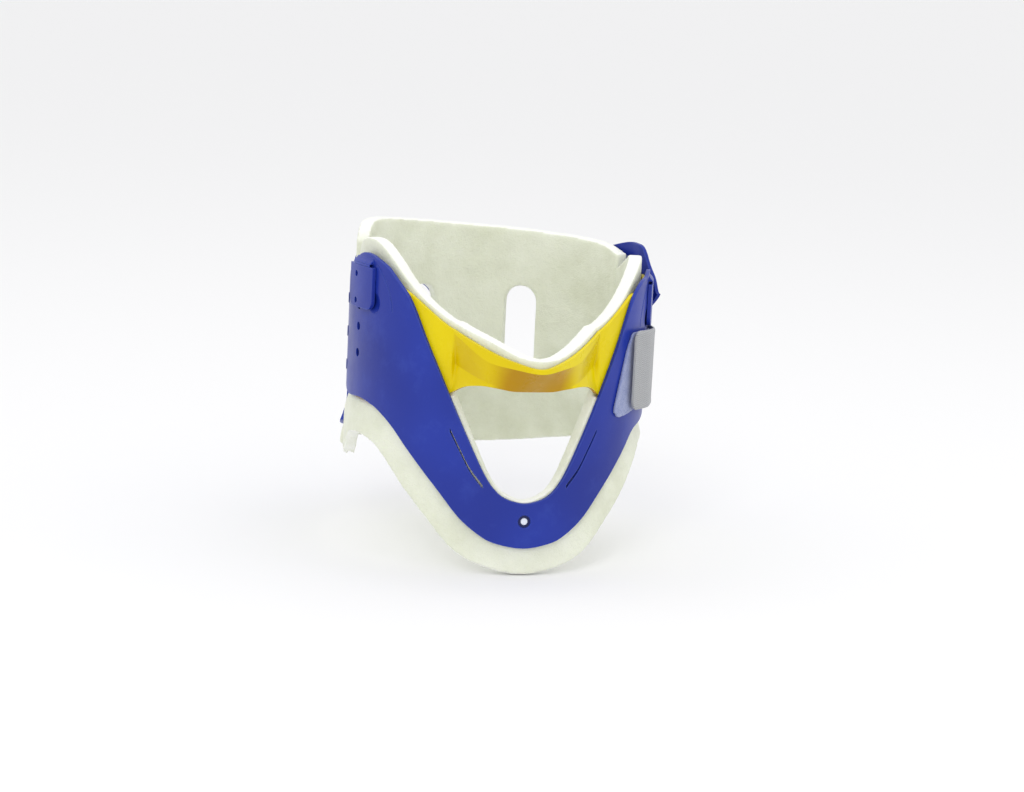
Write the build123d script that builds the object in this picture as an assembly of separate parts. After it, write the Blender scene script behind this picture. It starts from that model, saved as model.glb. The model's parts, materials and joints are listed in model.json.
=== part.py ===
from build123d import *
from math import atan2, cos, degrees, exp, hypot, log, radians, sin, sqrt
import os

# Adjustable rigid neck collar, closed and at its lowest chin setting. Millimetres.
# +Z is up, the front faces -Y and the wearer's left is +X. The origin is on the neck axis,
# level with the arches of the shell's lower edge over the shoulders.
# A place round the ring is an angle in degrees from the front, positive towards +X,
# and an "offset" is a distance outwards from the shell's outer face.

# plan of the ring: circles (x, y, radius) of the shell's outer face, for the +X half
FRONT_ARC = (0.0, -17.08, 66.0)
SIDE_ARC = (-6.0, 2.0, 86.0)
REAR_ARC = (0.0, 10.0, 76.0)

# sheet thicknesses and the gap between layers that lie on each other
SHELL_T = 2.0
CHIN_T = 1.8
PANEL_T = 1.8
FOAM_T = 7.5
GAP = 0.05

# front shell
WING_END = 104.0
LEFT_DROP = 6.0
SLIT_ANGLES = (15.5, 28.5)
SLIT_HEIGHT = 2.0
CHEST_PIN_Z = -51.0
CHEST_HOLE_R = 3.2
EYELET_BORE_R = 1.95
CHEST_PIN_R = 1.85

# height setting: holes in each wing, lock tab with two pegs, slotted arm behind
SETTING_PITCH = 14.0
PEG_ANGLE = 79.6
PEG_Z = (66.9, 52.9)
OPEN_HOLE_Z = (38.9, 24.9)
OPEN_HOLE_R = 2.3
PEG_R = 2.6
PEG_TIP_R = 2.1
PEG_BORE_R = 1.7
PEG_END = -3.6
PEG_HOLE_R = 3.2
PEG_HOLE_DROP = 1.8
TAB_ANGLES = (66.5, 87.0)
TAB_Z = (49.5, 71.8)
TAB_T = 2.0
TAB_LIFT = 0.2
TAB_CORNER_R = 5.0
BEAD_ANGLES = (68.5, 82.5)
BEAD_Z = (73.3, 76.0)
ARM_OFFSET = -2.3
ARM_SLOT_Z = (5.0, 71.0)
ARM_SLOT_WIDTH = 6.6
ARM_SCALLOP_R = 3.9

# chin support: V-shaped in plan, leaving the ring at CHIN_CREASE
CHIN_CREASE = 29.5
CHIN_TIP_ROUND = 7.0
CHIN_BULGE = 2.0
CHIN_FRONT_Y = 88.0
CHIN_PAD_GAP = 0.5

# rear panel, its hinge at the wearer's right, and the strap that closes it at the left
FLAP_ANGLES = (-96.5, -103.2)
FLAP_Z = (8.0, 56.0)
FLAP_T = 1.5
FLAP_RIVET_ANGLE = -99.6
FLAP_RIVET_Z = {"low": 14.0, "mid": 32.0, "high": 50.0}
PANEL_HINGE_END = 251.5
PANEL_TONGUE_END = 88.5
TONGUE_ROOT = 118.0
OPENING_ANGLES = (158.0, 202.0)
OPENING_Z = (0.0, 50.0)
OPENING_WIDTH = 24.0
PAD_OPENING_WIDTH = 18.0
STRAP_LOW = 3.0
STRAP_FALL = 0.116
STRAP_WIDTH = 42.0
STRAP_T = 1.3
STRAP_OFFSET = 3.05
STRAP_FREE_END = 45.5
STRAP_BEND = (87.6, 90.8)
STRAP_ANCHOR_END = 112.0
STRAP_RIVET_ANGLE = 108.5
STRAP_RIVET_Z = {"low": 5.0, "high": 28.0}
HOOK_OFFSET = 1.65
HOOK_T = 1.1
LOOP_T = 1.5


def outline(*knots):
    """A smooth height over angle through (angle, height) knots, with no overshoot."""
    xs = [knot[0] for knot in knots]
    ys = [knot[1] for knot in knots]
    slopes = [(ys[i + 1] - ys[i]) / (xs[i + 1] - xs[i]) for i in range(len(xs) - 1)]
    ends = [0.0 if xs[0] == 0 else slopes[0]]
    for before, after in zip(slopes, slopes[1:]):
        ends.append(2 * before * after / (before + after) if before * after > 0 else 0.0)
    ends.append(slopes[-1])

    def height(angle):
        x = min(max(angle, xs[0]), xs[-1])
        i = max(k for k in range(len(xs) - 1) if xs[k] <= x)
        span = xs[i + 1] - xs[i]
        s = (x - xs[i]) / span
        rise = ys[i] * (1 + 2 * s) * (1 - s) ** 2 + ys[i + 1] * s * s * (3 - 2 * s)
        return rise + span * (ends[i] * s * (1 - s) ** 2 - ends[i + 1] * s * s * (1 - s))

    return height


def step(x):
    """Smooth step from 0 to 1."""
    x = min(max(x, 0.0), 1.0)
    return x * x * (3 - 2 * x)


def ramp(x):
    """Straight ramp from 0 to 1."""
    return min(max(x, 0.0), 1.0)


def spread(first, last, count):
    """Evenly spaced values, ends included."""
    return [first + (last - first) * i / (count - 1) for i in range(count)]


def sag(angle):
    """How much lower the left wing and the arm inside it sit."""
    return LEFT_DROP * step((angle - 50.0) / 16.0)


# edges of the sheets, as height over angle from the front
shell_top = outline((0, -41.6), (8.8, -38), (14.7, -27.8), (22.3, -7.4), (32.2, 20), (39.7, 39.6),
                    (47.5, 59), (53, 66.5), (62, 75), (74, 78.7), (89, 71.2), (97, 65), (104, 54))
shell_bottom = outline((0, -65.1), (10.4, -62.7), (21, -54), (33, -36.5), (45, -20), (56.5, -6),
                       (66, 0), (76, 1.9), (90, 0.5), (104, 4))
foam_bottom = outline((0, -79), (12, -76.4), (24, -69.4), (36, -53.8), (46.5, -40), (57, -26),
                      (66, -19), (76, -17.5), (86, -20), (94, -28.5), (102, -37))
chin_top = outline((0, 32), (8, 34.5), (22, 42), (30, 46.5), (48, 61), (53, 63.8), (60, 65.5), (67, 69),
                   (74, 74), (80, 74.6), (88, 71))
chin_bottom = outline((0, 17.4), (6, 17.5), (11, 18.8), (16, 19.8), (20, 19.2), (24, 17.6), (30, 13),
                      (45, 5), (60, 3), (71, 1.5), (88, 1.5))
chin_ridge = outline((0, 29.5), (6, 30.5), (14, 32), (19, 35.5), (25, 41), (30, 45), (36, 50),
                     (48, 57), (60, 65), (88, 65.5))
chin_fold = outline((0, 19), (12, 20.6), (16, 22), (23, 25.2), (31, 29.5), (36, 34), (48, 34), (88, 34))
chin_recess = outline((0, 0), (12, 0), (20, 2.6), (26, 3.2), (31, 2.4), (36, 0), (88, 0))
right_pad_top = outline((0, 36), (6.4, 37.2), (11, 40), (17, 43.7), (28, 48.7), (36.5, 54.6),
                        (48.7, 65), (56, 73), (62, 79), (70, 84.5), (78, 86), (88, 84), (96, 79), (101, 73))
left_pad_top = outline((0, 36), (7, 36.5), (11, 38), (22, 44.5), (34, 51), (46, 61), (54, 68.5),
                       (62, 74.5), (70, 78.5), (78, 79.5), (90, 75), (101, 69))
chin_pad_bottom = outline((0, 22), (16, 23), (22, 26), (31, 30.5), (36, 35.3), (42, 37.5), (94, 37.5),
                          (96, 58.5), (101, 58.5))
slit_line = outline((15.5, -33.5), (20.5, -25), (24.8, -14.5), (28.5, -5.5))
body_pad_side_top = outline((34, 60), (38, 35), (102, 35))
patch_top = outline((37.2, 6), (40, 19), (45, 37.5), (49, 43.5), (80, 40))
patch_bottom = outline((37.2, 2.5), (40, 0), (56, 3), (80, 5))

# edges of the rear pieces, as height over angle counted on round the back
panel_top = outline((88.5, 57), (94, 70), (100, 81.5), (106, 82), (120, 78), (150, 76), (180, 75),
                    (215, 76), (238, 73), (251.5, 62))
panel_bottom = outline((88.5, 5), (100, 1), (108, -9), (118, -20), (135, -28), (180, -35), (225, -28),
                       (242, -24), (251.5, -19))
rear_pad_top = outline((105, 76), (120, 80), (150, 82), (180, 84), (215, 88), (236, 90), (248, 87),
                       (254.5, 79))
rear_pad_bottom = outline((105, -16), (118, -26), (135, -34), (180, -42), (225, -34), (242, -30),
                          (254.5, -32))


def junction(circle, other):
    """Angle of the point where two tangent circles of the plan meet."""
    reach = hypot(circle[0] - other[0], circle[1] - other[1])
    x = other[0] + (circle[0] - other[0]) / reach * other[2]
    y = other[1] + (circle[1] - other[1]) / reach * other[2]
    return degrees(atan2(x, -y))


FRONT_END = junction(FRONT_ARC, SIDE_ARC)
SIDE_END = junction(REAR_ARC, SIDE_ARC)


def plan_arc(angle):
    """Circle of the plan at an angle, with its centre on the right side."""
    turn = (angle + 180) % 360 - 180
    if abs(turn) < FRONT_END:
        return FRONT_ARC
    if abs(turn) > SIDE_END:
        return REAR_ARC
    side = 1 if turn > 0 else -1
    return (side * SIDE_ARC[0], SIDE_ARC[1], SIDE_ARC[2])


def ring_point(angle, z, offset=0.0):
    """Point at a distance outwards from the shell's outer face."""
    x, y, radius = plan_arc(angle)
    way = (sin(radians(angle)), -cos(radians(angle)))
    along = way[0] * x + way[1] * y
    reach = along + sqrt(along * along - x * x - y * y + (radius + offset) ** 2)
    return (reach * way[0], reach * way[1], z)


def ring_plane(angle, z, offset=0.0):
    """Plane on the ring: x along it, y up, z outwards."""
    x, y, radius = plan_arc(angle)
    point = ring_point(angle, z)
    out = Vector(point[0] - x, point[1] - y, 0).normalized()
    along = Vector(0, 0, 1).cross(out)
    return Plane(origin=Vector(*point) + out * offset, x_dir=along, z_dir=out)


def profile(points, smooth):
    """Edges through the points of one side of a section."""
    if smooth:
        return [Spline(*points)]
    return [Line(a, b) for a, b in zip(points, points[1:])]


def sheet(sections, smooth=False):
    """Solid lofted through sections, each given as its outer and inner points from low to high."""
    wires = []
    for outer, inner in sections:
        edges = profile(outer, smooth) + [Line(outer[-1], inner[-1])]
        edges += profile(inner[::-1], smooth) + [Line(inner[0], outer[0])]
        wires.append(Wire(edges))
    return Solid.make_loft(wires)


def ring_sheet(angles, low, high, offset_out, offset_in, rows=2):
    """Sheet that follows the ring between two heights; offsets may vary with angle and height."""
    def side(angle, offset):
        points = []
        for t in spread(0, 1, rows):
            z = low(angle) + (high(angle) - low(angle)) * t
            points.append(ring_point(angle, z, offset(angle, z) if callable(offset) else offset))
        return points
    return sheet([(side(a, offset_out), side(a, offset_in)) for a in angles], smooth=rows > 2)


def mirrored(edge):
    """An outline that is the same on both sides of the front."""
    return lambda angle: edge(abs(angle))


def level(z):
    """An outline at one height."""
    return lambda angle: z


def settled(side, z):
    """Height of a lock's or an arm's feature, which sits lower on the left side."""
    return z - LEFT_DROP if side > 0 else z


def peg_hole(side, angle, z, radius, drop=0.0):
    """Cutter for a hole through a wing, stretched downwards by drop."""
    plane = ring_plane(side * angle, z)
    shape = Circle(radius)
    if drop:
        shape += Pos(0, -drop) * Circle(radius) + Pos(0, -drop / 2) * Rectangle(2 * radius, drop)
    return extrude(plane * shape, 6, both=True)


def finger_dish(side):
    """Cutter for the dish beside a tab's lower front corner."""
    plane = ring_plane(side * (TAB_ANGLES[0] + 0.6), settled(side, TAB_Z[0]) + 4.0, 11.7)
    return Pos(*plane.origin) * Sphere(13.0)


def wing_crease(side):
    """Cutter for the shallow score line in front of a tab."""
    knots = ((65.5, 73.5), (59.5, 64.5), (57.0, 57.0), (56.2, 51.0))
    path = [ring_point(side * a, settled(side, z)) for a, z in knots]
    line = Spline(*path)
    return sweep(Plane(origin=line @ 0, z_dir=line % 0) * Circle(0.45), path=line)


def slit(side):
    """Cutter for the hook slit that follows the throat opening's edge, through the shell into the foam."""
    first, last = SLIT_ANGLES
    return ring_sheet(spread(side * first, side * last, 9), lambda a: slit_line(abs(a)) - SLIT_HEIGHT / 2,
                      lambda a: slit_line(abs(a)) + SLIT_HEIGHT / 2, 2.0, -5.5)


def front_shell():
    """Front shell: a U round the throat that rises into a wing on each side."""
    angles = spread(-WING_END, WING_END, 53)
    shell = ring_sheet(angles, lambda a: shell_bottom(abs(a)) - sag(a), lambda a: shell_top(abs(a)) - sag(a),
                       0.0, -SHELL_T)
    cutters = [peg_hole(1, FLAP_RIVET_ANGLE, z, 2.05) for z in FLAP_RIVET_Z.values()]
    for side in (1, -1):
        low, high = [settled(side, z) for z in BEAD_Z]
        bead = ring_sheet(spread(side * BEAD_ANGLES[0], side * BEAD_ANGLES[1], 9), level(low), level(high),
                          lambda a, z: 0.2 + (TAB_LIFT + TAB_T - 0.2) * step((high - z) / (high - low)), -0.5,
                          rows=6)
        shell = shell + bead
        cutters += [peg_hole(side, PEG_ANGLE, settled(side, z), PEG_HOLE_R, PEG_HOLE_DROP) for z in PEG_Z]
        cutters += [peg_hole(side, PEG_ANGLE, settled(side, z), OPEN_HOLE_R) for z in OPEN_HOLE_Z]
        cutters += [finger_dish(side), slit(side), wing_crease(side)]
    chest = ring_plane(0, CHEST_PIN_Z)
    sunk = Plane(origin=chest.origin, z_dir=-chest.z_dir)
    cutters.append(extrude(chest * Circle(CHEST_HOLE_R), 4, both=True))
    cutters.append(extrude(sunk * Circle(CHEST_HOLE_R + 0.5), 0.5, taper=45))
    return shell - cutters


def chest_eyelet():
    """Dark eyelet ring sunk in the shell below the throat opening."""
    plane = ring_plane(0, CHEST_PIN_Z, -SHELL_T)
    return extrude(plane * (Circle(CHEST_HOLE_R - GAP) - Circle(EYELET_BORE_R)), 1.3)


def chest_pin():
    """Pin with a domed end in the eyelet."""
    plane = ring_plane(0, CHEST_PIN_Z, -SHELL_T)
    pin = extrude(plane * Circle(CHEST_PIN_R), 1.6)
    return fillet(pin.edges().sort_by(Axis.Y)[0], 0.6)


def body_pad():
    """Foam under the shell, longer than it below, and recessed behind the chin support's arms."""
    def top(angle):
        near = max(abs(angle), 1e-6)
        rim = shell_top(near + 0.9) + 0.8
        return min(rim, body_pad_side_top(near) - sag(angle)) if near > 34 else rim

    def outer(angle, z):
        below = shell_bottom(abs(angle)) - sag(angle) - 2.0 - z
        return -SHELL_T - 2 * GAP + 3.0 * step(below / 16.0)

    def inner(angle, z):
        return outer(angle, z) - FOAM_T

    pad = ring_sheet(spread(-102, 102, 41), mirrored(foam_bottom), top, outer, inner, rows=9)
    cutters = []
    for side in (1, -1):
        cutters.append(ring_sheet(spread(side * 27, side * 96, 25),
                                  lambda a: chin_bottom(abs(a)) - sag(a) - 1.5, level(60), 0.5,
                                  ARM_OFFSET - CHIN_T - 1.4))
        cutters.append(ring_sheet(spread(side * 95.5, side * 104, 5), level(5), level(60), 0.5, -16.0))
        cutters.append(slit(side))
    return pad - cutters


def loop_patch():
    """Loop patch on the wearer's left wing, its front edge beside the throat opening."""
    return ring_sheet(spread(37.2, 80, 29), patch_bottom, patch_top, GAP + LOOP_T, GAP)


def chin_radius(angle, z):
    """Distance of the chin support's outer face from the neck axis."""
    turn = abs(angle)
    if turn >= CHIN_CREASE:
        x, y, _ = ring_point(turn, 0, ARM_OFFSET)
        return hypot(x, y)
    x, y, _ = ring_point(CHIN_CREASE, 0, ARM_OFFSET)
    normal = (0.735, -0.678)
    reach = normal[0] * x + normal[1] * y
    sides = [reach / (s * normal[0] * sin(radians(angle)) - normal[1] * cos(radians(angle))) for s in (1, -1)]
    vee = -CHIN_TIP_ROUND * log(sum(exp(-r / CHIN_TIP_ROUND) for r in sides))
    vee += CHIN_BULGE * sin(radians(180 * turn / CHIN_CREASE))
    flat = CHIN_FRONT_Y / cos(radians(angle))
    low = -2.0 * log(exp(-vee / 2.0) + exp(-flat / 2.0))
    bottom, fold, ridge = chin_bottom(turn), chin_fold(turn), chin_ridge(turn)
    below = min(max((ridge - z) / (ridge - bottom), 0.0), 1.0)
    tuck = min((ridge - z) / (ridge - fold), (z - bottom) / (fold - bottom))
    return vee + (low - vee) * below - chin_recess(turn) * max(tuck, 0.0)


def chin_point(angle, z, inset):
    """Point a horizontal distance inside the chin support's outer face."""
    def at(turn):
        radius = chin_radius(turn, z)
        return Vector(radius * sin(radians(turn)), -radius * cos(radians(turn)), z)
    here = at(angle)
    along = at(angle + 0.25) - at(angle - 0.25)
    out = along.cross(Vector(0, 0, 1)).normalized()
    point = here - out * inset
    return (point.X, point.Y, point.Z)


CHIN_ANGLES = [0, 1.5, 3, 5, 7.5, 10, 13, 16, 19, 22, 25, 27, 28.5, 29.5, 30.5, 32, 34, 37, 41, 46, 52, 58,
               64, 70, 76, 82, 88]


def both_ways(angles):
    """The angles of one side repeated on the other, from right to left."""
    return [-a for a in reversed(angles[1:])] + angles


def chin_sheet(angles, low, high, inset, thickness):
    """Sheet that follows the chin support between two edges, creased at its fold and its ridge."""
    def side(angle, depth):
        bottom, top = low(angle), high(angle)
        fold = min(max(chin_fold(abs(angle)), bottom + 0.6), top - 2)
        ridge = min(max(chin_ridge(abs(angle)), fold + 0.8), top - 0.8)
        return [chin_point(angle, z, depth) for z in (bottom, fold, ridge, top)]
    return sheet([(side(a, inset), side(a, inset + thickness)) for a in angles])


def arm_slot(side):
    """Cutter for an arm's slot, with a round seat at every peg position."""
    plane = ring_plane(side * PEG_ANGLE, settled(side, 0))
    radius = ARM_SLOT_WIDTH / 2
    low, high = ARM_SLOT_Z[0] + radius, ARM_SLOT_Z[1] - radius
    shape = Pos(0, (low + high) / 2) * Rectangle(ARM_SLOT_WIDTH, high - low)
    shape += Pos(0, low) * Circle(radius) + Pos(0, high) * Circle(radius)
    for i in range(5):
        shape += Pos(0, PEG_Z[0] - i * SETTING_PITCH) * Circle(ARM_SCALLOP_R)
    return extrude(plane * shape, 8, both=True)


def chin_support():
    """Chin support: a V-shaped front with a slotted arm inside each wing."""
    support = chin_sheet(both_ways(CHIN_ANGLES), lambda a: chin_bottom(abs(a)) - sag(a),
                         lambda a: chin_top(abs(a)) - sag(a), 0.0, CHIN_T)
    return support - [arm_slot(1), arm_slot(-1)]


def chin_pad():
    """Foam inside the chin support, standing above its top edge."""
    angles = both_ways(CHIN_ANGLES[:-1] + [86, 90, 92, 93, 94, 95, 96, 97, 99, 101])
    return chin_sheet(angles, lambda a: chin_pad_bottom(abs(a)) - sag(a),
                      lambda a: left_pad_top(a) if a > 0 else right_pad_top(-a), CHIN_T + CHIN_PAD_GAP, FOAM_T)


def lock_tab(side):
    """Lock tab: a curved plate with two hollow pegs that pass through the wing into the arm."""
    low, high = [settled(side, z) for z in TAB_Z]
    plate = ring_sheet(spread(side * (TAB_ANGLES[0] - 2), side * (TAB_ANGLES[1] + 2), 13), level(low - 2),
                       level(high), TAB_LIFT + TAB_T, TAB_LIFT)
    front, back = [Vector(*ring_point(side * angle, 0)) for angle in TAB_ANGLES]
    plane = ring_plane(side * sum(TAB_ANGLES) / 2, (low + high) / 2, -5)
    shape = Rectangle((front - back).length, high - low + 1)
    shape = Pos(0, 0.5) * fillet(shape.vertices().group_by(Axis.Y)[0], TAB_CORNER_R)
    tab = plate & extrude(plane * shape, 12)
    bores = []
    for z in PEG_Z:
        root = ring_plane(side * PEG_ANGLE, settled(side, z), TAB_LIFT + 0.5)
        length = TAB_LIFT + 0.5 - PEG_END
        down = Plane(origin=root.origin, x_dir=root.x_dir, z_dir=-root.z_dir)
        tab = tab + Location(down) * Pos(0, 0, length / 2) * Cone(PEG_R, PEG_TIP_R, length)
        bores.append(peg_hole(side, PEG_ANGLE, settled(side, z), PEG_BORE_R))
    return tab - bores


def lock_web(side):
    """Thin living hinge between a wing's bead and its tab."""
    return ring_sheet(spread(side * (BEAD_ANGLES[0] + 0.5), side * (BEAD_ANGLES[1] - 0.5), 9),
                      level(settled(side, TAB_Z[1]) + 0.03), level(settled(side, BEAD_Z[0]) - 0.03), 2.15, 1.6)


def rear_flap():
    """Flap of the rear panel's hinge, inside the wearer's right wing."""
    flap = ring_sheet(spread(FLAP_ANGLES[0], FLAP_ANGLES[1], 5), level(FLAP_Z[0]), level(FLAP_Z[1]),
                      -SHELL_T - GAP, -SHELL_T - GAP - FLAP_T)
    return flap - [peg_hole(1, FLAP_RIVET_ANGLE, z, 2.05) for z in FLAP_RIVET_Z.values()]


def rear_hinge_web():
    """Thin living hinge between the flap and the rear panel."""
    start, end = FLAP_ANGLES[1] - 0.1, PANEL_HINGE_END - 360 + 0.1

    def centre(angle, z):
        return -2.6 + 1.7 * step((start - angle) / (start - end))

    return ring_sheet(spread(start, end, 7), level(FLAP_Z[0] + 1), level(FLAP_Z[1] - 1),
                      lambda a, z: centre(a, z) + 0.3, lambda a, z: centre(a, z) - 0.3)


def rivet(angle, z, outer, inner, head_r, shank_r, head_t, tail_t):
    """Rivet across a stack of sheets, with a domed head outside and a flat tail inside."""
    plane = ring_plane(angle, z, inner)
    body = extrude(plane * Circle(shank_r), outer - inner)
    head = extrude(ring_plane(angle, z, outer) * Circle(head_r), head_t)
    if tail_t:
        tail = extrude(Plane(origin=plane.origin, z_dir=-plane.z_dir) * Circle(head_r * 0.75), tail_t)
        body = body + tail
    rim = head.edges().filter_by(GeomType.CIRCLE).sort_by(lambda e: hypot(e.arc_center.X, e.arc_center.Y))
    return body + fillet(rim[-1], head_t * 0.6)


def flap_rivet(name):
    """Rivet that holds the flap to the wing."""
    return rivet(FLAP_RIVET_ANGLE, FLAP_RIVET_Z[name], 0.08, -SHELL_T - GAP - FLAP_T - 0.15, 2.8, 1.95, 0.3,
                 0.5)


def strap_rivet(name):
    """Rivet that holds the strap's anchor to the rear panel."""
    return rivet(STRAP_RIVET_ANGLE, STRAP_RIVET_Z[name], STRAP_OFFSET + STRAP_T + 0.15, -1.2, 4.0, 1.95, 1.0,
                 0.0)


def panel_inner(angle, z):
    """Offset of the rear panel's inner face: outside the left wing, flared low down."""
    offset = -PANEL_T + 2.6 * step((116 - angle) / 10.0)
    offset += 5.0 * step((-6 - z) / 22.0)
    return offset + 6.5 * step((z - 46) / 12.0) * ramp((102 - angle) / 13.5) ** 1.5


def rear_opening(angle, width):
    """Cutter for an opening at the back of the neck."""
    plane = ring_plane(angle, (OPENING_Z[0] + OPENING_Z[1]) / 2)
    return extrude(plane * SlotOverall(OPENING_Z[1] - OPENING_Z[0], width, rotation=90), 16, both=True)


def rear_panel():
    """Rear panel, from its hinge at the right round to a tongue outside the left wing."""
    tongue, back = [
        ring_sheet(angles, panel_bottom, panel_top, lambda a, z: panel_inner(a, z) + PANEL_T,
                   panel_inner, rows=15)
        for angles in (spread(PANEL_TONGUE_END, TONGUE_ROOT, 13), spread(TONGUE_ROOT, PANEL_HINGE_END, 18))
    ]
    panel = tongue + back
    cutters = [rear_opening(angle, OPENING_WIDTH) for angle in OPENING_ANGLES]
    cutters += [peg_hole(1, STRAP_RIVET_ANGLE, z, 2.05) for z in STRAP_RIVET_Z.values()]
    return panel - cutters


def rear_pad():
    """Foam inside the rear panel, standing past it above and below."""
    def outer(angle, z):
        return -PANEL_T - 0.45 + 4.7 * step((-6 - z) / 22.0)

    pad = ring_sheet(spread(105, 254.5, 21), rear_pad_bottom, rear_pad_top, outer,
                     lambda a, z: outer(a, z) - FOAM_T, rows=12)
    web_room = ring_sheet(spread(249, 256, 5), level(FLAP_Z[0] - 2), level(FLAP_Z[1] + 2), 1.0, -3.6)
    return pad - [web_room] - [rear_opening(angle, PAD_OPENING_WIDTH) for angle in OPENING_ANGLES]


def strap_low(angle):
    """Lower edge of the strap, which falls gently towards the back."""
    return STRAP_LOW - STRAP_FALL * (angle - STRAP_FREE_END)


def strap_piece(angles, offset, thickness, inset):
    """Piece of the strap, or of its hook strip, a distance inside the strap's two edges."""
    trim = inset if callable(inset) else level(inset)
    return ring_sheet(angles, lambda a: strap_low(a) + trim(a), lambda a: strap_low(a) + STRAP_WIDTH - trim(a),
                      offset + thickness, offset)


def strap_band():
    """Free part of the strap, round-cornered at its end, over the left wing."""
    corner = 5.0

    def inset(angle):
        run = max(0.0, corner - (angle - STRAP_FREE_END) * 1.45)
        return corner - sqrt(max(corner * corner - run * run, 0.0))

    angles = [45.5, 45.7, 46, 46.5, 47.2, 48, 49] + spread(51, STRAP_BEND[0] - GAP, 18)
    return strap_piece(angles, STRAP_OFFSET, STRAP_T, inset)


def strap_hook_strip():
    """Hook strip inside the strap's free part."""
    return strap_piece(spread(50.0, 78.5, 13), HOOK_OFFSET, HOOK_T, 4.5)


def strap_bend():
    """Short free length of strap that flexes when it is peeled."""
    return strap_piece(spread(STRAP_BEND[0] + GAP, STRAP_BEND[1] - GAP, 7), STRAP_OFFSET + 0.2, STRAP_T - 0.3,
                       0.5)


def strap_anchor():
    """End of the strap that is riveted to the rear panel's tongue."""
    anchor = strap_piece(spread(STRAP_BEND[1] + GAP, STRAP_ANCHOR_END, 13), STRAP_OFFSET, STRAP_T, 0.0)
    return anchor - [peg_hole(1, STRAP_RIVET_ANGLE, z, 2.05) for z in STRAP_RIVET_Z.values()]


PIECES = {
    "front_shell": front_shell,
    "body_pad": body_pad,
    "loop_patch": loop_patch,
    "chest_eyelet": chest_eyelet,
    "chest_pin": chest_pin,
    "lock_web_right": lambda: lock_web(-1),
    "lock_web_left": lambda: lock_web(1),
    "rear_flap": rear_flap,
    "rear_hinge_web": rear_hinge_web,
    "chin_support": chin_support,
    "chin_pad": chin_pad,
    "lock_tab_right": lambda: lock_tab(-1),
    "lock_tab_left": lambda: lock_tab(1),
    "rear_panel": rear_panel,
    "rear_pad": rear_pad,
    "strap_anchor": strap_anchor,
    "strap_bend": strap_bend,
    "strap_band": strap_band,
    "strap_hook_strip": strap_hook_strip,
}
for level_name in FLAP_RIVET_Z:
    PIECES["flap_rivet_" + level_name] = lambda name=level_name: flap_rivet(name)
for level_name in STRAP_RIVET_Z:
    PIECES["strap_rivet_" + level_name] = lambda name=level_name: strap_rivet(name)

os.makedirs("parts", exist_ok=True)
for node, build in PIECES.items():
    shape = build()
    shape.label = node
    export_step(shape, "parts/" + node + ".step")
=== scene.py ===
import json
import math

import bpy
from mathutils import Matrix, Vector, noise


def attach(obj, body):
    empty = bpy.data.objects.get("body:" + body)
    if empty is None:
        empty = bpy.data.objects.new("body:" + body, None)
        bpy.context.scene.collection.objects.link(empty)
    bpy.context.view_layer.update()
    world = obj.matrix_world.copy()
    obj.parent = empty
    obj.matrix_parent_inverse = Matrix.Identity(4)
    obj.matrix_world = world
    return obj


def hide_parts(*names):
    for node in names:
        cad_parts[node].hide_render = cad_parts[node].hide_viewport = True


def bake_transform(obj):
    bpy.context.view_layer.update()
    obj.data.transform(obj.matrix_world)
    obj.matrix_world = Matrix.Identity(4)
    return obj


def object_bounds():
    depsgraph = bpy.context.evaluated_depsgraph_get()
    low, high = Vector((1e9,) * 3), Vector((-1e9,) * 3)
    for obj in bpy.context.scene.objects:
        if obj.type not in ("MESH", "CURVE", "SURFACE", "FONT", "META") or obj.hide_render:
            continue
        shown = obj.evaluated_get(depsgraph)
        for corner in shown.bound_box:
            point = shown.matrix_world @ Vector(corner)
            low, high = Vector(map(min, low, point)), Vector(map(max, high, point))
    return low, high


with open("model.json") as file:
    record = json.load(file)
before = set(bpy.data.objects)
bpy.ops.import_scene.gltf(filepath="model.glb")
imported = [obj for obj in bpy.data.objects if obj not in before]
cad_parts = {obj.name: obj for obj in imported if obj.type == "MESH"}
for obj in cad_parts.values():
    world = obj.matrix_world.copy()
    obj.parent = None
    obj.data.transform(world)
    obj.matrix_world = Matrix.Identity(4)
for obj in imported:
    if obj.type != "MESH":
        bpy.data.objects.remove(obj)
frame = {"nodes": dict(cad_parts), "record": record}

NODES = frame["nodes"]
MM = 0.001
cad_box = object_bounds()

# plan of the ring, as in the CAD: circles (x, y, radius) of the shell's outer face, +X half, mm
FRONT_ARC = (0.0, -17.08, 66.0)
SIDE_ARC = (-6.0, 2.0, 86.0)
REAR_ARC = (0.0, 10.0, 76.0)
FRONT_END = 13.894
SIDE_END = 147.216

# the left wing's lock sits this much lower, mm
LEFT_DROP = 6.0

# strap, mm and degrees round the ring from the front
STRAP_LOW = 3.0
STRAP_FALL = 0.116
STRAP_WIDTH = 42.0
STRAP_FREE_END = 45.5
STRAP_ANCHOR_END = 112.0
STRAP_OFFSET = 3.05
STRAP_T = 1.3
STRAP_CORNER = 6.0
STRAP_MM_PER_DEGREE = 1.45
STRAP_EDGE_T = 0.62 * STRAP_T
STRAP_EDGE_RUN = 0.7
SELVEDGE = (0.6, 2.2)
SELVEDGE_RISE = 0.16
FREE_END_LIFT = 0.5
FREE_END_ROOT = 52.0
STRAP_WAVE = 0.12

# surfaces: cell sizes and ripples in m, smoothing in rounds
FOAM_SMOOTHING = 12
PATCH_CELL = 0.00045
PATCH_SMOOTHING = 3
PATCH_RIPPLE = 0.00012
WEB_CELL = 0.00022

# unevenness: noise scales per metre, the broad noise's share, and how far it is pushed inwards
BROAD_NOISE = 45.0
CLOSE_NOISE = 110.0
BROAD_SHARE = 0.8
INWARDS = 0.35
SEED_STEP = Vector((7.3, 3.1, 5.7))

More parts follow.
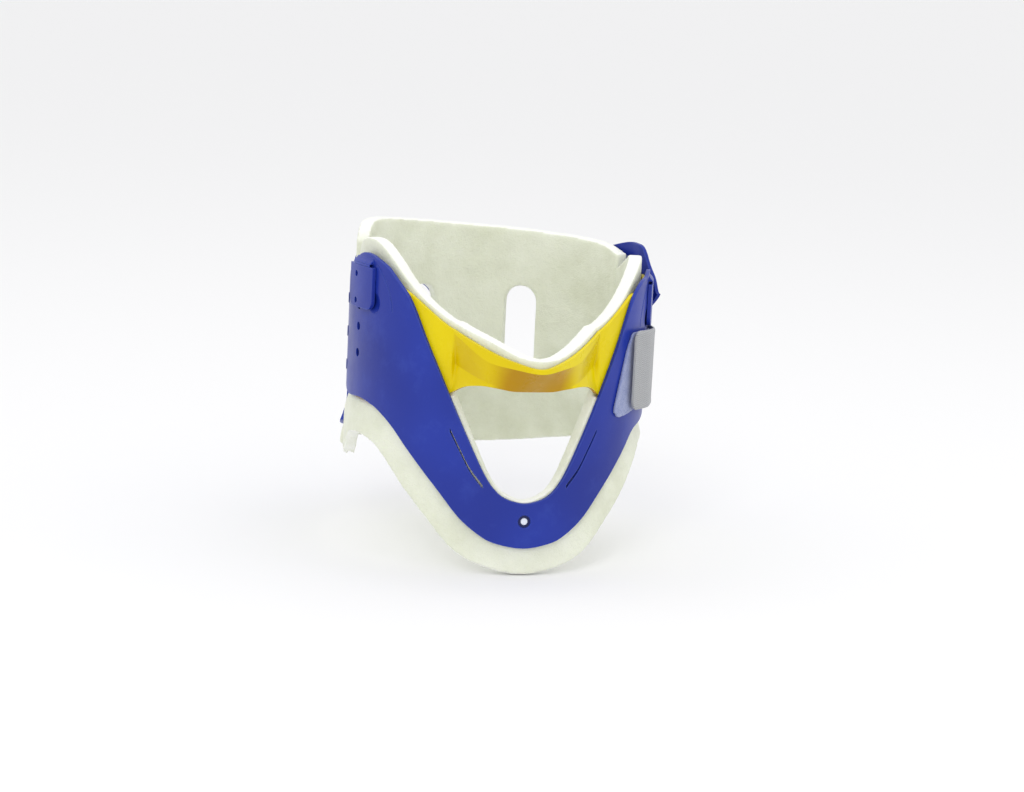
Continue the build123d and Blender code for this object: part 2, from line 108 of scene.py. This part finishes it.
# camera: the photograph's viewing angle in degrees, distance in m, aim in picture units
CAMERA_AZIMUTH = -13.0
CAMERA_ELEVATION = 10.0
CAMERA_ROLL = 2.8
CAMERA_DISTANCE = 1.4
SENSOR_WIDTH = 36.0
IMAGE_WIDTH = 1024
MM_PER_PIXEL = 0.54
AIM_RIGHT = 17.0
AIM_UP = -1.0

# stage and light: half side of the floor, its gap below the collar, metres; watts
FLOOR_REACH = 30.0
FLOOR_GAP = 0.0005
KEY_POWER = 6
TOP_POWER = 3
SURROUND_STRENGTH = 0.98


# ---------------------------------------------------------------- ring geometry

def ring_point(angle, z, offset=0.0):
    """Point in metres at an angle, a height and a distance outside the shell's outer face, in mm."""
    turn = (angle + 180) % 360 - 180
    if abs(turn) < FRONT_END:
        x, y, radius = FRONT_ARC
    elif abs(turn) > SIDE_END:
        x, y, radius = REAR_ARC
    else:
        x, y, radius = SIDE_ARC
        x = math.copysign(1, turn) * x
    way = (math.sin(math.radians(angle)), -math.cos(math.radians(angle)))
    along = way[0] * x + way[1] * y
    reach = along + math.sqrt(along * along - x * x - y * y + (radius + offset) ** 2)
    return Vector((reach * way[0], reach * way[1], z)) * MM


def new_object(name, data):
    """Object in the scene from a mesh, a light or a camera."""
    obj = bpy.data.objects.new(name, data)
    bpy.context.scene.collection.objects.link(obj)
    return obj


def smooth(obj):
    """Smooth shading on every face."""
    obj.data.polygons.foreach_set("use_smooth", [True] * len(obj.data.polygons))


def apply_modifiers(obj):
    """Bakes an object's modifiers into its mesh."""
    graph = bpy.context.evaluated_depsgraph_get()
    shaped = bpy.data.meshes.new_from_object(obj.evaluated_get(graph))
    obj.modifiers.clear()
    obj.data = shaped


def even_cells(name, node, cell, smoothing=0):
    """Copy of a CAD node as a fine even mesh, its sharp edges softened by some rounds of smoothing."""
    obj = new_object(name, NODES[node].data.copy())
    remesh = obj.modifiers.new("cells", "REMESH")
    remesh.mode = "VOXEL"
    remesh.voxel_size = cell
    if smoothing:
        soften = obj.modifiers.new("soften", "SMOOTH")
        soften.factor = 0.5
        soften.iterations = smoothing
    apply_modifiers(obj)
    return obj


def band(name, angles, heights, offset_out, offset_in):
    """Closed curved band on the ring, as a quad grid. heights(angle) gives its rows, and the
    offsets may vary with angle and height."""
    rows = [heights(a) for a in angles]
    columns, count = len(angles), len(rows[0])
    verts = []
    for side in (offset_out, offset_in):
        for a, zs in zip(angles, rows):
            verts += [ring_point(a, z, side(a, z)) for z in zs]

    def at(side, i, j):
        return side * columns * count + i * count + j

    faces = []
    for i in range(columns - 1):
        for j in range(count - 1):
            faces.append((at(0, i, j), at(0, i + 1, j), at(0, i + 1, j + 1), at(0, i, j + 1)))
            faces.append((at(1, i, j), at(1, i, j + 1), at(1, i + 1, j + 1), at(1, i + 1, j)))
        for j, flip in ((0, 1), (count - 1, 0)):
            quad = (at(0, i, j), at(0, i + 1, j), at(1, i + 1, j), at(1, i, j))
            faces.append(quad[::-1] if flip else quad)
    for j in range(count - 1):
        for i, flip in ((0, 0), (columns - 1, 1)):
            quad = (at(0, i, j), at(0, i, j + 1), at(1, i, j + 1), at(1, i, j))
            faces.append(quad[::-1] if flip else quad)
    mesh = bpy.data.meshes.new(name)
    mesh.from_pydata([v[:] for v in verts], [], faces)
    mesh.validate()
    return new_object(name, mesh)


def spread(first, last, count):
    """Evenly spaced values, ends included."""
    return [first + (last - first) * i / (count - 1) for i in range(count)]


# ---------------------------------------------------------------- materials

def srgb(*levels):
    """Linear colour with alpha from 0-255 sRGB levels."""
    out = []
    for level in levels:
        c = level / 255
        out.append(c / 12.92 if c <= 0.04045 else ((c + 0.055) / 1.055) ** 2.4)
    return (*out, 1.0)


class Graph:
    """Short calls for a material's node tree."""

    def __init__(self, name):
        self.material = bpy.data.materials.new(name)
        self.material.use_nodes = True
        self.tree = self.material.node_tree
        self.bsdf = self.tree.nodes["Principled BSDF"]
        self.position = self.add("ShaderNodeTexCoord").outputs["Object"]

    def add(self, kind, inputs=(), **settings):
        node = self.tree.nodes.new(kind)
        for key, value in settings.items():
            setattr(node, key, value)
        for key, value in dict(inputs).items():
            self.feed(node.inputs[key], value)
        return node

    def feed(self, socket, value):
        if isinstance(value, bpy.types.NodeSocket):
            self.tree.links.new(value, socket)
        else:
            socket.default_value = value

    def set(self, **inputs):
        for key, value in inputs.items():
            self.feed(self.bsdf.inputs[key.replace("_", " ")], value)

    def noise(self, scale, detail=3.0, roughness=0.5):
        node = self.add("ShaderNodeTexNoise", {"Vector": self.position, "Scale": scale,
                                               "Detail": detail, "Roughness": roughness})
        return node.outputs["Fac"]

    def cells(self, scale, randomness=1.0):
        """Distance to the nearest cell centre of a cellular pattern."""
        node = self.add("ShaderNodeTexVoronoi", {"Vector": self.position, "Scale": scale,
                                                 "Randomness": randomness}, feature="F1")
        return node.outputs["Distance"]

    def facing_up(self):
        """Height of the surface normal: 1 facing up, 0 upright, -1 facing down."""
        true = self.add("ShaderNodeNewGeometry").outputs["Normal"]
        return self.add("ShaderNodeSeparateXYZ", {0: true}).outputs["Z"]

    def ramp(self, fac, low, high, start=0.0, end=1.0):
        """Value or colour that runs from low to high as fac goes from start to end."""
        node = self.add("ShaderNodeMapRange", {"Value": fac, "From Min": start, "From Max": end,
                                               "To Min": low, "To Max": high})
        return node.outputs["Result"]

    def mix(self, fac, a, b):
        node = self.add("ShaderNodeMix", data_type="RGBA")
        self.feed(node.inputs[0], fac)
        self.feed(node.inputs[6], a)
        self.feed(node.inputs[7], b)
        return node.outputs[2]

    def math(self, operation, a, b=0.0):
        node = self.add("ShaderNodeMath", operation=operation)
        for socket, value in zip(node.inputs, (a, b)):
            self.feed(socket, value)
        return node.outputs[0]

    def bump(self, height, distance, strength=1.0, normal=None):
        node = self.add("ShaderNodeBump", {"Height": height, "Distance": distance, "Strength": strength})
        if normal is not None:
            self.feed(node.inputs["Normal"], normal)
        return node.outputs["Normal"]

    def rounded(self, radius):
        """Normal that rounds off hard edges by a radius."""
        node = self.add("ShaderNodeBevel", {"Radius": radius}, samples=6)
        return node.outputs["Normal"]

    def edge(self, width):
        """1 near a hard edge, 0 on the faces."""
        soft = self.rounded(width)
        true = self.add("ShaderNodeNewGeometry").outputs["Normal"]
        dot = self.add("ShaderNodeVectorMath", {0: soft, 1: true}, operation="DOT_PRODUCT").outputs["Value"]
        return self.ramp(dot, 1.0, 0.0, 0.80, 0.995)


def moulded_plastic(name, colour, deep, pale, gloss, grain=0.00004):
    """Moulded polyethylene sheet: faint colour drift, fine grain, rounded edges painted paler as a painted
    highlight, soft scuffs.
    """
    g = Graph(name)
    drift = g.noise(14.0, 2.0)
    body = g.mix(g.ramp(drift, 0.0, 1.0, 0.35, 0.65), deep, colour)
    scuffs = g.noise(60.0, 6.0, 0.7)
    body = g.mix(g.ramp(scuffs, 0.0, 0.12, 0.55, 0.75), body, pale)
    # painted highlight: a band along hard edges is mixed towards the pale colour, which also serves for the
    # scuffs
    body = g.mix(g.math("MULTIPLY", g.edge(0.0012), 0.35), body, pale)
    rough = g.ramp(g.noise(45.0, 5.0, 0.6), gloss - 0.05, gloss + 0.07, 0.3, 0.7)
    fine = g.noise(2600.0, 2.0, 0.6)
    flow = g.noise(22.0, 2.0, 0.4)
    normal = g.bump(flow, 0.0008, 0.5, g.rounded(0.0006))
    g.set(Base_Color=body, Roughness=rough, IOR=1.5, Normal=g.bump(fine, grain, 0.6, normal))
    g.set(Specular_IOR_Level=0.32)
    return g


def shell_blue():
    """The blue of the shells, the lock tabs and the flap."""
    g = moulded_plastic("shell_blue", srgb(27, 51, 158), srgb(21, 41, 138), srgb(76, 102, 204), 0.34)
    return g.material


def chin_yellow():
    """The yellow of the chin support, with painted shade: browner where it faces down."""
    g = moulded_plastic("chin_yellow", srgb(228, 208, 0), srgb(216, 190, 0), srgb(244, 230, 70), 0.28)
    body = g.bsdf.inputs["Base Color"].links[0].from_socket
    # painted shade: faces turned downwards are mixed towards a browner yellow
    under = g.ramp(g.facing_up(), 0.9, 0.0, -0.55, -0.05)
    g.set(Base_Color=g.mix(under, body, srgb(178, 128, 0)))
    g.set(Subsurface_Weight=0.08, Subsurface_Radius=(0.002, 0.0019, 0.0004), Subsurface_Scale=1.0)
    g.set(Specular_IOR_Level=0.2)
    return g.material


def foam():
    """Closed-cell foam sheet: skinned faces with a faint green-yellow tint, whiter cut edges, small cells."""
    g = Graph("foam")
    cells = g.cells(1100.0, 0.9)
    large = g.cells(420.0)
    mottled = g.noise(70.0, 5.0, 0.6)
    cloudy = g.noise(18.0, 2.0)
    skin = g.mix(g.ramp(mottled, 0.0, 1.0, 0.3, 0.7), srgb(214, 217, 196), srgb(228, 231, 214))
    skin = g.mix(g.ramp(cloudy, 0.0, 0.5, 0.4, 0.65), skin, srgb(236, 238, 226))
    cut = g.ramp(g.math("ABSOLUTE", g.facing_up()), 0.0, 1.0, 0.35, 0.8)
    colour = g.mix(cut, skin, srgb(244, 245, 238))
    colour = g.mix(g.ramp(cells, 0.30, 0.0, 0.0, 0.35), colour, srgb(196, 199, 178))
    rough = g.ramp(mottled, 0.62, 0.86, 0.3, 0.7)
    normal = g.bump(mottled, 0.0006, 0.5)
    normal = g.bump(large, 0.0003, 0.5, normal)
    normal = g.bump(cells, 0.00022, 0.7, normal)
    g.set(Base_Color=colour, Roughness=rough, IOR=1.4, Normal=normal, Sheen_Weight=0.08)
    g.set(Subsurface_Weight=0.25, Subsurface_Radius=(0.004, 0.0042, 0.0034), Subsurface_Scale=1.0)
    return g.material


def round_ring(g):
    """(distance along the ring, height) in metres, for patterns that follow the band."""
    parts = g.add("ShaderNodeSeparateXYZ", {0: g.position})
    angle = g.math("ARCTAN2", parts.outputs["X"], g.math("MULTIPLY", parts.outputs["Y"], -1.0))
    return g.math("MULTIPLY", angle, 0.084), parts.outputs["Z"]


def webbing():
    """Woven nylon strap: ribs along its length, picks across, a few stray pale fibres."""
    g = Graph("webbing")
    run, height = round_ring(g)
    warp = g.math("SINE", g.math("MULTIPLY", height, 2 * math.pi / 0.0011))
    shift = g.math("MULTIPLY", g.math("SIGN", warp), 0.00055)
    weft = g.math("SINE", g.math("MULTIPLY", g.math("ADD", run, shift), 2 * math.pi / 0.0022))
    weave = g.math("ADD", g.math("MULTIPLY", warp, 0.5), g.math("MULTIPLY", weft, 0.5))
    fuzz = g.noise(900.0, 3.0, 0.7)
    soil = g.noise(40.0, 4.0, 0.6)
    colour = g.mix(g.ramp(weave, 0.0, 1.0, -1.0, 1.0), srgb(146, 148, 151), srgb(182, 184, 187))
    colour = g.mix(g.ramp(soil, 0.0, 0.35, 0.45, 0.75), colour, srgb(158, 160, 160))
    colour = g.mix(g.ramp(fuzz, 0.0, 0.3, 0.55, 0.8), colour, srgb(206, 208, 210))
    normal = g.bump(weave, 0.00018, 0.8, g.rounded(0.0004))
    g.set(Base_Color=colour, Roughness=0.78, Normal=g.bump(fuzz, 0.0001, 0.5, normal), Sheen_Weight=0.25,
          Sheen_Roughness=0.4)
    return g.material


def loop_pile():
    """Brushed loop fabric: short tangled pile."""
    g = Graph("loop_pile")
    tangle = g.noise(1500.0, 4.0, 0.8)
    clumps = g.noise(260.0, 4.0, 0.65)
    colour = g.mix(g.ramp(tangle, 0.0, 1.0, 0.35, 0.65), srgb(104, 117, 170), srgb(150, 160, 200))
    colour = g.mix(g.ramp(clumps, 0.0, 0.4, 0.4, 0.7), colour, srgb(172, 180, 210))
    normal = g.bump(clumps, 0.0005, 0.6)
    g.set(Base_Color=colour, Roughness=0.95, Normal=g.bump(tangle, 0.0003, 0.8, normal), Sheen_Weight=0.5,
          Sheen_Roughness=0.5)
    return g.material


def hook_tape():
    """Hook tape: rows of tiny hooks."""
    g = Graph("hook_tape")
    run, height = round_ring(g)
    rows = g.math("SINE", g.math("MULTIPLY", height, 2 * math.pi / 0.0016))
    along = g.math("SINE", g.math("MULTIPLY", run, 2 * math.pi / 0.0013))
    hooks = g.math("MULTIPLY", g.math("MAXIMUM", rows, 0.0), g.math("MAXIMUM", along, 0.0))
    colour = g.mix(hooks, srgb(96, 98, 102), srgb(170, 172, 176))
    g.set(Base_Color=colour, Roughness=0.5, Normal=g.bump(hooks, 0.0005, 0.9))
    return g.material


def eyelet_dark():
    """Dark ring of the eyelet, its very dark navy a painted shade of the gap round the pin."""
    # painted shade: the ring's near-black navy stands for the shade in the hole around the pin
    g = moulded_plastic("eyelet_dark", srgb(24, 30, 84), srgb(16, 20, 60), srgb(60, 72, 140), 0.42)
    return g.material


def pin_white():
    """Pale pin in the eyelet."""
    g = moulded_plastic("pin_white", srgb(228, 233, 246), srgb(212, 218, 236), srgb(250, 250, 255), 0.25)
    g.set(Subsurface_Weight=0.15, Subsurface_Radius=(0.002, 0.002, 0.002), Subsurface_Scale=1.0)
    return g.material


def rivet_blue():
    """Rivets, a little lighter and glossier than the shells."""
    g = moulded_plastic("rivet_blue", srgb(38, 58, 154), srgb(30, 46, 128), srgb(88, 110, 205), 0.28)
    return g.material


MATERIALS = {
    "shell_blue": shell_blue(),
    "chin_yellow": chin_yellow(),
    "foam": foam(),
    "strap_grey": webbing(),
    "loop_pile": loop_pile(),
    "hook_tape": hook_tape(),
    "eyelet_dark": eyelet_dark(),
    "pin_white": pin_white(),
    "rivet_blue": rivet_blue(),
}


def dress(obj, slot):
    """Gives an object the scene's material for a slot of the record."""
    obj.data.materials.clear()
    obj.data.materials.append(MATERIALS[slot])


def dress_cad_nodes():
    """Every CAD node gets its slot's material."""
    for part in frame["record"]["subparts"]:
        dress(NODES[part["node"]], part["material_slot"])


# ---------------------------------------------------------------- foam liners

def foam_liner(name, node, body, cell, ripple, seed):
    """Foam liner from its CAD solid: cut edges rounded off and faces gently uneven."""
    liner = even_cells(name, node, cell, FOAM_SMOOTHING)
    unevenness(liner.data, ripple, seed)
    smooth(liner)
    dress(liner, "foam")
    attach(liner, body)
    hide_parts(node)


def unevenness(mesh, ripple, seed):
    """Moves each point along its normal by smooth noise, inwards for the most part."""
    shift = seed * SEED_STEP
    normals = [v.normal.copy() for v in mesh.vertices]
    for vertex, normal in zip(mesh.vertices, normals):
        broad = noise.noise(vertex.co * BROAD_NOISE + shift)
        close = noise.noise(vertex.co * CLOSE_NOISE + shift)
        vertex.co += normal * (ripple * (BROAD_SHARE * broad + (1 - BROAD_SHARE) * close - INWARDS))


# ---------------------------------------------------------------- fabric pieces

def strap():
    """One length of webbing from the rear panel's tongue over the left wing, with selvedges and
    a rounded end."""
    def low(angle):
        return STRAP_LOW - STRAP_FALL * (angle - STRAP_FREE_END)

    def heights(angle):
        run = max(0.0, STRAP_CORNER - (angle - STRAP_FREE_END) * STRAP_MM_PER_DEGREE)
        inset = STRAP_CORNER - math.sqrt(max(STRAP_CORNER * STRAP_CORNER - run * run, 0.0))
        bottom, top = low(angle) + inset, low(angle) + STRAP_WIDTH - inset
        edges = [0.0, 0.004, 0.012, 0.03, 0.05]
        marks = edges + spread(0.08, 0.92, 23) + [1 - e for e in reversed(edges)]
        return [bottom + (top - bottom) * m for m in marks]

    def thickness(angle, z):
        """Thinner at the very edges, with a raised selvedge just inside them."""
        side = min(z - low(angle), low(angle) + STRAP_WIDTH - z)
        body = STRAP_EDGE_T + (STRAP_T - STRAP_EDGE_T) * min(side / STRAP_EDGE_RUN, 1.0)
        return body + (SELVEDGE_RISE if SELVEDGE[0] < side < SELVEDGE[1] else 0.0)

    def lift(angle, z):
        """Slight lift of the free end and a soft wave along the strap."""
        free = FREE_END_LIFT * max(0.0, (FREE_END_ROOT - angle) / (FREE_END_ROOT - STRAP_FREE_END)) ** 2
        wave = STRAP_WAVE * math.sin(angle * 0.42 + z * 0.05)
        return STRAP_OFFSET + free + wave

    angles = [45.5, 45.6, 45.8, 46.1, 46.5, 47.0, 47.6, 48.3, 49.2] + spread(50.2, STRAP_ANCHOR_END, 64)
    obj = band("strap", angles, heights, lambda a, z: lift(a, z) + thickness(a, z), lift)
    obj.modifiers.new("round", "SUBSURF").levels = 1
    apply_modifiers(obj)
    smooth(obj)
    dress(obj, "strap_grey")
    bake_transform(obj)
    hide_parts("strap_band", "strap_bend", "strap_anchor")


def fuzzy_patch():
    """Loop patch with a napped surface and a soft edge."""
    patch = even_cells("loop_pile_patch", "loop_patch", PATCH_CELL, PATCH_SMOOTHING)
    unevenness(patch.data, PATCH_RIPPLE, 5)
    smooth(patch)
    dress(patch, "loop_pile")
    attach(patch, "front")
    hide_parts("loop_patch")


# ---------------------------------------------------------------- living hinges

def living_hinge(name, node):
    """Thin web between two bodies, from its CAD node cut into fine even cells."""
    web = even_cells(name, node, WEB_CELL)
    smooth(web)
    dress(web, "shell_blue")
    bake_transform(web)
    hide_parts(node)


def living_hinges():
    """The two lock tabs' webs and the rear panel's web."""
    for side, name, drop in ((-1, "right", 0.0), (1, "left", LEFT_DROP)):
        living_hinge("lock_hinge_" + name, "lock_web_" + name)
    living_hinge("rear_hinge", "rear_hinge_web")


# ---------------------------------------------------------------- stage, light and camera

def stage_sheet(name, corners, colour):
    """Plain matt sheet of the stage."""
    mesh = bpy.data.meshes.new(name)
    mesh.from_pydata(corners, [], [(0, 1, 2, 3)])
    obj = new_object(name, mesh)
    g = Graph(name + "_paper")
    g.set(Base_Color=colour, Roughness=0.95, Normal=g.bump(g.noise(300.0, 3.0), 0.0001, 0.3))
    obj.data.materials.append(g.material)


def floor():
    """Pale floor under the collar."""
    z = cad_box[0].z - FLOOR_GAP
    corners = [(x * FLOOR_REACH, y * FLOOR_REACH, z) for x, y in ((-1, -1), (1, -1), (1, 1), (-1, 1))]
    stage_sheet("floor", corners, srgb(242, 242, 243))


def area_light(name, position, size, power):
    """Square light aimed at the origin."""
    light = bpy.data.lights.new(name, "AREA")
    light.size = size
    light.energy = power
    obj = new_object(name, light)
    obj.location = position
    way = -Vector(position)
    obj.rotation_euler = way.to_track_quat("-Z", "Y").to_euler()


def lights():
    """Two soft lights in an even white surround."""
    area_light("key", (-0.7, -1.6, 1.2), 0.7, KEY_POWER)
    area_light("top", (0.2, -0.1, 1.5), 0.9, TOP_POWER)
    world = bpy.context.scene.world or bpy.data.worlds.new("world")
    bpy.context.scene.world = world
    world.use_nodes = True
    background = world.node_tree.nodes["Background"]
    background.inputs["Color"].default_value = (1, 1, 1, 1)
    background.inputs["Strength"].default_value = SURROUND_STRENGTH


def camera():
    """Long lens at the photograph's viewing angle, aimed a little beside the collar's middle."""
    azimuth, elevation, roll = map(math.radians, (CAMERA_AZIMUTH, CAMERA_ELEVATION, CAMERA_ROLL))
    back = Vector((math.sin(azimuth) * math.cos(elevation), -math.cos(azimuth) * math.cos(elevation),
                   math.sin(elevation)))
    level = Vector((math.cos(azimuth), math.sin(azimuth), 0))
    rise = back.cross(level)
    right = level * math.cos(roll) + rise * math.sin(roll)
    up = rise * math.cos(roll) - level * math.sin(roll)
    data = bpy.data.cameras.new("camera")
    data.sensor_width = SENSOR_WIDTH
    data.lens = CAMERA_DISTANCE / (MM_PER_PIXEL * MM) * SENSOR_WIDTH / IMAGE_WIDTH
    data.clip_start = 0.05
    obj = new_object("camera", data)
    aim = (right * AIM_RIGHT + up * AIM_UP) * MM_PER_PIXEL * MM
    place = back * CAMERA_DISTANCE + aim
    turn = Matrix((right, up, back)).transposed().to_4x4()
    obj.matrix_world = Matrix.Translation(place) @ turn
    bpy.context.scene.camera = obj


camera()
floor()
lights()
bpy.context.scene.view_settings.view_transform = "Standard"
dress_cad_nodes()
foam_liner("chest_foam", "body_pad", "front", cell=0.0009, ripple=0.0003, seed=1)
foam_liner("chin_foam", "chin_pad", "chin", cell=0.0008, ripple=0.0002, seed=2)
foam_liner("rear_foam", "rear_pad", "rear", cell=0.0010, ripple=0.0003, seed=3)
fuzzy_patch()
strap()
living_hinges()
